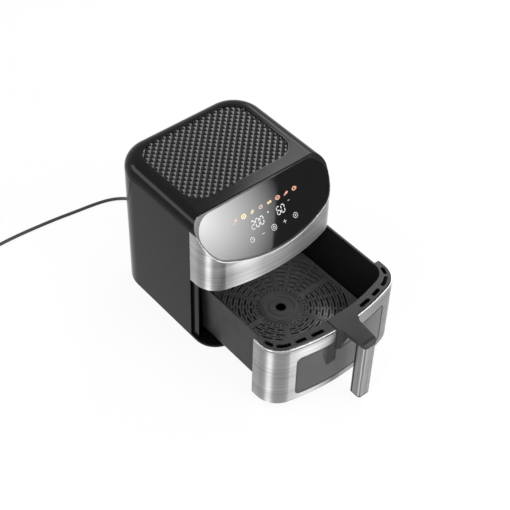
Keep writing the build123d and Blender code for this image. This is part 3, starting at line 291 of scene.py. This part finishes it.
node_materials = {
    black_shell: (
        "outer_shell",
        "head_frame",
        "base_pan",
        "rear_vent_grille",
        "mouth_frame",
        "drawer_core",
        "cooling_fan",
    ),
    black_trim: (
        "drawer_ledge_left",
        "drawer_ledge_right",
        "handle_bridge",
        "handle_core",
        "handle_cap",
    ),
    panel_black: ("top_panel",),
    black_coating: ("basket",),
    grey_coating: ("crisper_plate",),
    silicone: ("window_frame", *named("plate_bumper")),
    foot_rubber: named("foot_"),
    cord_rubber: ("cord_gland", "plug_body"),
    board_green: ("power_board", "display_board"),
    liner_steel: ("cavity_liner", "heat_deck", "heat_dome", "motor_bracket"),
    bright_wire: ("element_guard", "lamp_holder"),
    element_metal: ("heating_element",),
    motor_steel: (
        "motor",
        "motor_shaft",
        "fan_nut",
        "thermal_cutout",
        "handle_screw_left",
        "handle_screw_right",
    ),
    fan_metal: ("hot_air_fan",),
    pin_metal: ("plug_pin_left", "plug_pin_right"),
    trim_steel: ("drawer_trim_left", "drawer_trim_right"),
    steel_front: ("steel_band", "drawer_shell"),
    steel_grip: ("handle_sleeve",),
    panel_glass: ("control_glass",),
    window_glass: ("window_glass", "inner_glass", "lamp_lens"),
}
for material, names in node_materials.items():
    for name in names:
        nodes[name].data.materials.clear()
        nodes[name].data.materials.append(material)


# Cord: one smooth line along a route, two and a half turns of a coil, and a tail to the plug
cord_radius = 0.0033
# Points across, behind the housing's back, and up
cord_route = [
    (-0.004, 0.0285, 0.034),
    (-0.004, 0.056, 0.034),
    (-0.005, 0.084, 0.023),
    (-0.007, 0.110, 0.008),
    (-0.014, 0.134, 0.0034),
    (-0.033, 0.153, 0.0034),
    (-0.060, 0.165, 0.0034),
    (-0.092, 0.171, 0.0034),
    (-0.128, 0.176, 0.0034),
    (-0.166, 0.182, 0.0034),
    (-0.204, 0.186, 0.0034),
    (-0.238, 0.189, 0.0034),
    (-0.268, 0.1904, 0.0034),
    (-0.297, 0.1904, 0.0034),
]
coil_x = -0.356
coil_lead = 0.023
outer_turn_radius = 0.0396
inner_turn_radius = 0.033
upper_turn_radius = 0.0363
lead_height = 0.0034
hump_height = 0.0101
tail_height = 0.0091
tail_length = 0.028
# Degrees swept along the coil, in all and where its radius and its height change
coil_sweep = 900
narrowing = (240, 350)
widening = (640, 760)
rising = (470, 610)
sinking = (690, 790)
steps_per_turn = 20


def eased(value, start, end):
    """A smooth step from 0 to 1 between two values."""
    share = min(max((value - start) / (end - start), 0), 1)
    return share * share * (3 - 2 * share)


def coil_points():
    """Points along the turns: an outer turn, an inner one, and half a turn that lies on both."""
    coil_y = back_y + cord_route[-1][1] + outer_turn_radius
    # The points lie further out than the turns, because the spline runs inside them
    corner_cut = (1 + cos(radians(360 / steps_per_turn))) / 2
    points = []
    for step in range(1, int(coil_sweep / 360 * steps_per_turn) + 1):
        sweep = step * 360 / steps_per_turn
        radius = outer_turn_radius
        radius += (inner_turn_radius - outer_turn_radius) * eased(sweep, *narrowing)
        radius += (upper_turn_radius - inner_turn_radius) * eased(sweep, *widening)
        height = lead_height
        height += (hump_height - lead_height) * eased(sweep, *rising)
        height += (tail_height - hump_height) * eased(sweep, *sinking)
        angle = radians(-90 - sweep)
        reach = radius / corner_cut
        points.append((coil_x + reach * cos(angle), coil_y + reach * sin(angle), height))
    return points, coil_y + upper_turn_radius


def make_cord():
    """The mains cord as one spline, from its gland to its plug."""
    coil, tail_y = coil_points()
    route = [(x, back_y + behind, height) for x, behind, height in cord_route]
    lead_y = route[-1][1]
    lead = [(coil_x + coil_lead, lead_y, lead_height), (coil_x, lead_y, lead_height)]
    tail = [
        (coil_x + tail_length / 2, tail_y, tail_height),
        (coil_x + tail_length, tail_y, tail_height),
    ]
    points = route + lead + coil + tail
    curve = bpy.data.curves.new("mains_cord", "CURVE")
    curve.dimensions = "3D"
    curve.bevel_depth = cord_radius
    curve.bevel_resolution = 4
    curve.resolution_u = 6
    curve.use_fill_caps = True
    spline = curve.splines.new("NURBS")
    spline.points.add(len(points) - 1)
    for point, place in zip(spline.points, points):
        point.co = (*place, 1)
    spline.order_u = 3
    spline.use_endpoint_u = True
    cord = bpy.data.objects.new("mains_cord", curve)
    scene.collection.objects.link(cord)
    curve.materials.append(cord_rubber)
    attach(cord, "housing")
    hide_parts("power_cord", "cord_coil")


make_cord()

# Display: lit icons, figures and keys on the sloping glass. A row is a distance down the glass
# from its top edge. Outlines are drawn about one unit high, and a size scales them.
glass_down = (Vector(glass_foot) - Vector(glass_top)).normalized()
glass_normal = Vector((1, 0, 0)).cross(-glass_down).normalized()
glass_axes = Matrix((Vector((1, 0, 0)), -glass_down, glass_normal)).transposed().to_4x4()
display_centre = -0.001
mark_lift = 0.00008
mark_depth = 0.00006
line_width = 0.0007

icon_row = 0.0378
icon_pitch = 0.01874
icon_size = 0.0047
icon_widen = 1.3

figure_row = 0.0587
figure_height = 0.0135
figure_width = 0.0068
figure_pitch = 0.0096
figure_stroke = 0.0014
figure_slant = 0.16
# How far a segment stays off its corner, in strokes
segment_gap = 0.6
temperature_x = -0.0277
minutes_x = 0.0242

key_row = 0.0805
key_pitch = 0.0241
key_size = 0.0036
fan_mark_row = 0.0514
minute_mark_row = 0.0513
minute_mark_x = 0.0453


def glass_point(along, down):
    """A point on the control glass."""
    return Vector(glass_top) + Vector((along, 0, 0)) + glass_down * down


def mark(name, outlines, x, down, size, material, slant=0.0, widen=1.0):
    """A thin flat piece on the glass from closed outlines, where an inner outline is a hole."""
    curve = bpy.data.curves.new(name, "CURVE")
    curve.dimensions = "2D"
    curve.fill_mode = "BOTH"
    curve.extrude = mark_depth / size
    for outline in outlines:
        spline = curve.splines.new("POLY")
        spline.points.add(len(outline) - 1)
        for point, (along, up) in zip(spline.points, outline):
            point.co = (widen * along + slant * up, up, 0, 1)
        spline.use_cyclic_u = True
    drawn = bpy.data.objects.new(name + "_outline", curve)
    scene.collection.objects.link(drawn)
    bpy.context.view_layer.update()
    mesh = bpy.data.meshes.new_from_object(drawn)
    bpy.data.objects.remove(drawn)
    place = glass_point(x, down) + glass_normal * mark_lift
    mesh.transform(Matrix.Translation(place) @ glass_axes @ Matrix.Scale(size, 4))
    mesh.materials.clear()
    mesh.materials.append(material)
    piece = bpy.data.objects.new(name, mesh)
    scene.collection.objects.link(piece)
    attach(piece, "housing")


def oval(x, y, half_width, half_height, steps, turn=0.0):
    """Outline of an oval, turned by an angle."""
    outline = []
    for step in range(steps):
        angle = 2 * pi * step / steps
        along, up = half_width * cos(angle), half_height * sin(angle)
        outline.append(
            (x + along * cos(turn) - up * sin(turn), y + along * sin(turn) + up * cos(turn))
        )
    return outline


def ring(x, y, radius, stroke, steps=28, squash=1.0, turn=0.0):
    """Outer and inner outline of a ring, which a squash below 1 makes oval."""
    edges = (radius + stroke / 2, radius - stroke / 2)
    return [oval(x, y, edge, edge * squash, steps, turn) for edge in edges]


def bar(start, end, stroke):
    """Outline of a straight stroke."""
    way = Vector((end[0] - start[0], end[1] - start[1])).normalized() * stroke / 2
    side = Vector((-way.y, way.x))
    return [
        (start[0] - side.x, start[1] - side.y),
        (end[0] - side.x, end[1] - side.y),
        (end[0] + side.x, end[1] + side.y),
        (start[0] + side.x, start[1] + side.y),
    ]


def segment(start, end, stroke):
    """Outline of one segment of a figure, with pointed ends."""
    start, end = Vector(start), Vector(end)
    way = (end - start).normalized()
    side = Vector((-way.y, way.x)) * stroke / 2
    point = way * stroke / 2
    near = start + way * stroke * segment_gap
    far = end - way * stroke * segment_gap
    corners = (
        near,
        near + point - side,
        far - point - side,
        far,
        far - point + side,
        near + point + side,
    )
    return [tuple(corner) for corner in corners]


def figure(digit):
    """Outlines of a seven-segment figure, centred, one unit high."""
    lit = {"0": "abcdef", "2": "abged", "6": "afgedc"}[digit]
    half, wide = 0.5, figure_width / figure_height / 2
    stroke = figure_stroke / figure_height
    ends = {
        "a": ((-wide, half), (wide, half)),
        "b": ((wide, half), (wide, 0)),
        "c": ((wide, 0), (wide, -half)),
        "d": ((-wide, -half), (wide, -half)),
        "e": ((-wide, 0), (-wide, -half)),
        "f": ((-wide, half), (-wide, 0)),
        "g": ((-wide, 0), (wide, 0)),
    }
    return [segment(*ends[name], stroke) for name in lit]


def make_figures():
    """The two readings."""
    readings = (("temperature", "200", temperature_x), ("minutes", "60", minutes_x))
    for name, digits, x in readings:
        for place, digit in enumerate(digits):
            mark(
                f"{name}_figure_{place + 1}",
                figure(digit),
                x + (place - (len(digits) - 1) / 2) * figure_pitch,
                figure_row,
                figure_height,
                display_white,
                slant=figure_slant,
            )


def make_keys():
    """The lower row of touch keys, and two small marks beside the readings."""
    stroke = line_width / key_size
    keys = {
        "timer": [
            *ring(0, 0, 1.15, stroke),
            bar((0, 0.05), (0, 0.6), stroke),
            bar((0.1, 0), (0.5, -0.3), stroke),
        ],
        "less": [bar((-0.9, 0), (0.9, 0), stroke)],
        "start": [
            *ring(0, 0, 1.45, stroke),
            *ring(0, -0.05, 0.6, stroke),
            bar((0, 0.25), (0, 0.85), stroke),
        ],
        "more": [
            bar((-1, 0), (1, 0), stroke),
            bar((0, 0.12), (0, 1), stroke),
            bar((0, -1), (0, -0.12), stroke),
        ],
        "power": [
            *ring(0, 0, 1.25, stroke),
            bar((-0.35, -0.5), (-0.05, 0.5), stroke),
            bar((0.1, -0.45), (0.4, 0.45), stroke),
        ],
    }
    for place, (name, outlines) in enumerate(keys.items()):
        x = display_centre + (place - (len(keys) - 1) / 2) * key_pitch
        mark(f"key_{name}", outlines, x, key_row, key_size, display_white)
    dot = ring(0, 0, 0.35, stroke)
    mark("fan_mark", dot, display_centre, fan_mark_row, key_size, display_white)
    dash = [bar((-0.5, 0), (0.5, 0), stroke)]
    mark("minute_mark", dash, minute_mark_x, minute_mark_row, key_size, display_white)


def make_icons():
    """Eight plain food icons, from pale yellow to orange."""
    stroke = line_width / icon_size
    icons = (
        (
            "drumstick",
            (0.75, 0.38, 0.26),
            [oval(0.25, 0.2, 0.55, 0.42, 20, 0.7), bar((-0.2, -0.15), (-0.75, -0.7), 0.26)],
        ),
        (
            "egg",
            (0.87, 0.76, 0.3),
            [*ring(0, 0, 0.68, 0.42, 24), oval(0, 0, 0.26, 0.26, 14)],
        ),
        (
            "shrimp",
            (0.75, 0.66, 0.3),
            [oval(0, 0, 0.75, 0.45, 20, 0.9), oval(0.05, 0, 0.2, 0.12, 14, 0.9)],
        ),
        (
            "steak",
            (0.7, 0.4, 0.32),
            [*ring(0, 0, 0.62, 0.34, 22, 0.78, 0.5), bar((-0.25, -0.2), (0.25, 0.25), stroke)],
        ),
        (
            "fries",
            (0.83, 0.6, 0.22),
            [
                oval(-0.35, -0.05, 0.4, 0.5, 18),
                oval(0.42, 0.05, 0.4, 0.5, 18),
                oval(-0.35, -0.05, 0.12, 0.18, 12),
            ],
        ),
        (
            "cake",
            (0.8, 0.3, 0.14),
            [*ring(0, 0, 0.66, 0.4, 22, 0.9, 0.4), oval(0, 0, 0.2, 0.2, 12)],
        ),
        (
            "fish",
            (0.8, 0.27, 0.12),
            [
                oval(0.15, 0, 0.7, 0.38, 20, 0.5),
                oval(0.4, 0.16, 0.1, 0.1, 10),
                bar((-0.35, -0.2), (-0.8, -0.6), 0.4),
            ],
        ),
        (
            "pizza",
            (0.85, 0.3, 0.14),
            [*ring(0, 0, 0.68, 0.36, 24, 0.86, 0.5), oval(0.1, 0, 0.24, 0.2, 14)],
        ),
    )
    for place, (name, color, outlines) in enumerate(icons):
        x = display_centre + (place - (len(icons) - 1) / 2) * icon_pitch
        paint = glowing(f"icon_{name}", color, 1.0)
        mark(f"icon_{name}", outlines, x, icon_row, icon_size, paint, widen=icon_widen)


make_figures()
make_keys()
make_icons()

# Floor and world: white where they show, and a plain light on the object
floor_reach = 3.0
floor_color = (0.8, 0.8, 0.8, 1)
floor_white_share = 0.9
world_light = 0.35

floor_mesh = bpy.data.meshes.new("floor")
floor_mesh.from_pydata(
    [
        (-floor_reach, -floor_reach, 0),
        (floor_reach, -floor_reach, 0),
        (floor_reach, floor_reach, 0),
        (-floor_reach, floor_reach, 0),
    ],
    [],
    [(0, 1, 2, 3)],
)
floor = bpy.data.objects.new("floor", floor_mesh)
scene.collection.objects.link(floor)


def larger(tree, first, second):
    """The larger of two values."""
    return linked(
        tree, "ShaderNodeMath", {0: first, 1: second}, operation="MAXIMUM"
    ).outputs["Value"]


def shown(tree):
    """1 on the camera's rays, on reflections and on what is seen through glass, otherwise 0."""
    rays = linked(tree, "ShaderNodeLightPath").outputs
    mirrored = larger(tree, rays["Is Camera Ray"], rays["Is Glossy Ray"])
    return larger(tree, mirrored, rays["Is Transmission Ray"])


def make_floor_material():
    """Nearly white where it shows, with the object's shadow left faintly on it."""
    material, tree, principled = shader("floor_white")
    principled.inputs["Base Color"].default_value = floor_color
    principled.inputs["Roughness"].default_value = 0.9
    glow = linked(tree, "ShaderNodeEmission", {"Strength": 1.0})
    share = linked(
        tree, "ShaderNodeMath", {0: shown(tree), 1: floor_white_share}, operation="MULTIPLY"
    )
    mix = linked(
        tree,
        "ShaderNodeMixShader",
        {0: share.outputs["Value"], 1: principled.outputs["BSDF"], 2: glow.outputs["Emission"]},
    )
    tree.links.new(mix.outputs["Shader"], tree.nodes["Material Output"].inputs["Surface"])
    return material


floor_mesh.materials.append(make_floor_material())

world = bpy.data.worlds.new("studio")
scene.world = world
world.use_nodes = True
world_tree = world.node_tree
sky = world_tree.nodes["Background"]
sky.inputs["Color"].default_value = (1, 1, 1, 1)
sky_level = between(world_tree, shown(world_tree), world_light, 1.0, from_low=0, from_high=1)
world_tree.links.new(sky_level, sky.inputs["Strength"])

# Lamps: place, aim, width, height, watts
lamps = {
    "back_softbox": ((1.65, 1.15, 1.68), (0.0, 0.0, 0.1), 0.9, 0.9, 15),
    "top_softbox": ((1.094, 1.141, 1.809), (0.0, -0.02, 0.295), 0.26, 0.2, 1.4),
    "right_softbox": ((1.98, 0.3, 1.2), (0.0, 0.1, 0.29), 1.2, 1.0, 21),
    "shoulder_strip": ((-1.2, 1.1, 1.0), (-0.1, 0.1, 0.25), 1.1, 0.5, 11),
    "left_strip": ((-2.04, -0.82, 0.75), (0.0, 0.0, 0.15), 0.75, 1.4, 42),
    "front_strip": ((0.3, -2.18, 0.75), (0.0, 0.0, 0.15), 0.5, 1.4, 32),
    "drawer_softbox": ((0.85, -1.2, 1.6), (0.0, -0.13, 0.05), 0.8, 0.8, 12),
}


def add_lamp(name, place, turn, width, height, watts, spread=180):
    """A rectangular area lamp, whose spread is in degrees."""
    lamp = bpy.data.lights.new(name, "AREA")
    lamp.shape = "RECTANGLE"
    lamp.size = width
    lamp.size_y = height
    lamp.energy = watts
    lamp.spread = radians(spread)
    holder = bpy.data.objects.new(name, lamp)
    scene.collection.objects.link(holder)
    holder.location = place
    holder.rotation_mode = "QUATERNION"
    holder.rotation_quaternion = turn


for name, (place, aim, width, height, watts) in lamps.items():
    way = Vector(aim) - Vector(place)
    add_lamp(name, place, way.to_track_quat("-Z", "Y"), width, height, watts)

# A softbox of narrow spread, mirrored in the left part of the control glass. Its right edge is
# seen along a line on the glass, and it fades with the distance from a bright corner. Points on
# the glass are given along and down.
mirrored_edge = ((0.0411, 0.0116), (-0.0128, 0.099))
bright_corner = (-0.13, 0.005)
mirrored_middle = (-0.06, 0.05)
softbox_distance = 2.0
softbox_size = (0.325, 0.5)
softbox_start = -0.08
softbox_watts = 0.077
softbox_spread = 8.2


def bounced(point):
    """The way on which the camera sees a reflection at a point on the glass."""
    way = (point - Vector(camera_place)).normalized()
    return way - 2 * way.dot(glass_normal) * glass_normal


facing = bounced(glass_point(*bright_corner))
plane_point = glass_point(*mirrored_middle)
plane_point += bounced(plane_point) * softbox_distance


def landing(along, down):
    """Where the reflected way from a point on the glass meets the softbox's plane."""
    point = glass_point(along, down)
    way = bounced(point)
    return point + way * ((plane_point - point).dot(facing) / way.dot(facing))


edge_start, edge_end = (landing(*place) for place in mirrored_edge)
along_edge = (edge_end - edge_start).normalized()
across_edge = along_edge.cross(facing)
softbox_place = edge_start + along_edge * (softbox_start + softbox_size[1] / 2)
softbox_place += across_edge * softbox_size[0] / 2
softbox_turn = Matrix((across_edge, along_edge, facing)).transposed().to_quaternion()
add_lamp("glass_softbox", softbox_place, softbox_turn, *softbox_size, softbox_watts, softbox_spread)

scene.view_settings.view_transform = "Standard"

bpy.context.view_layer.update()
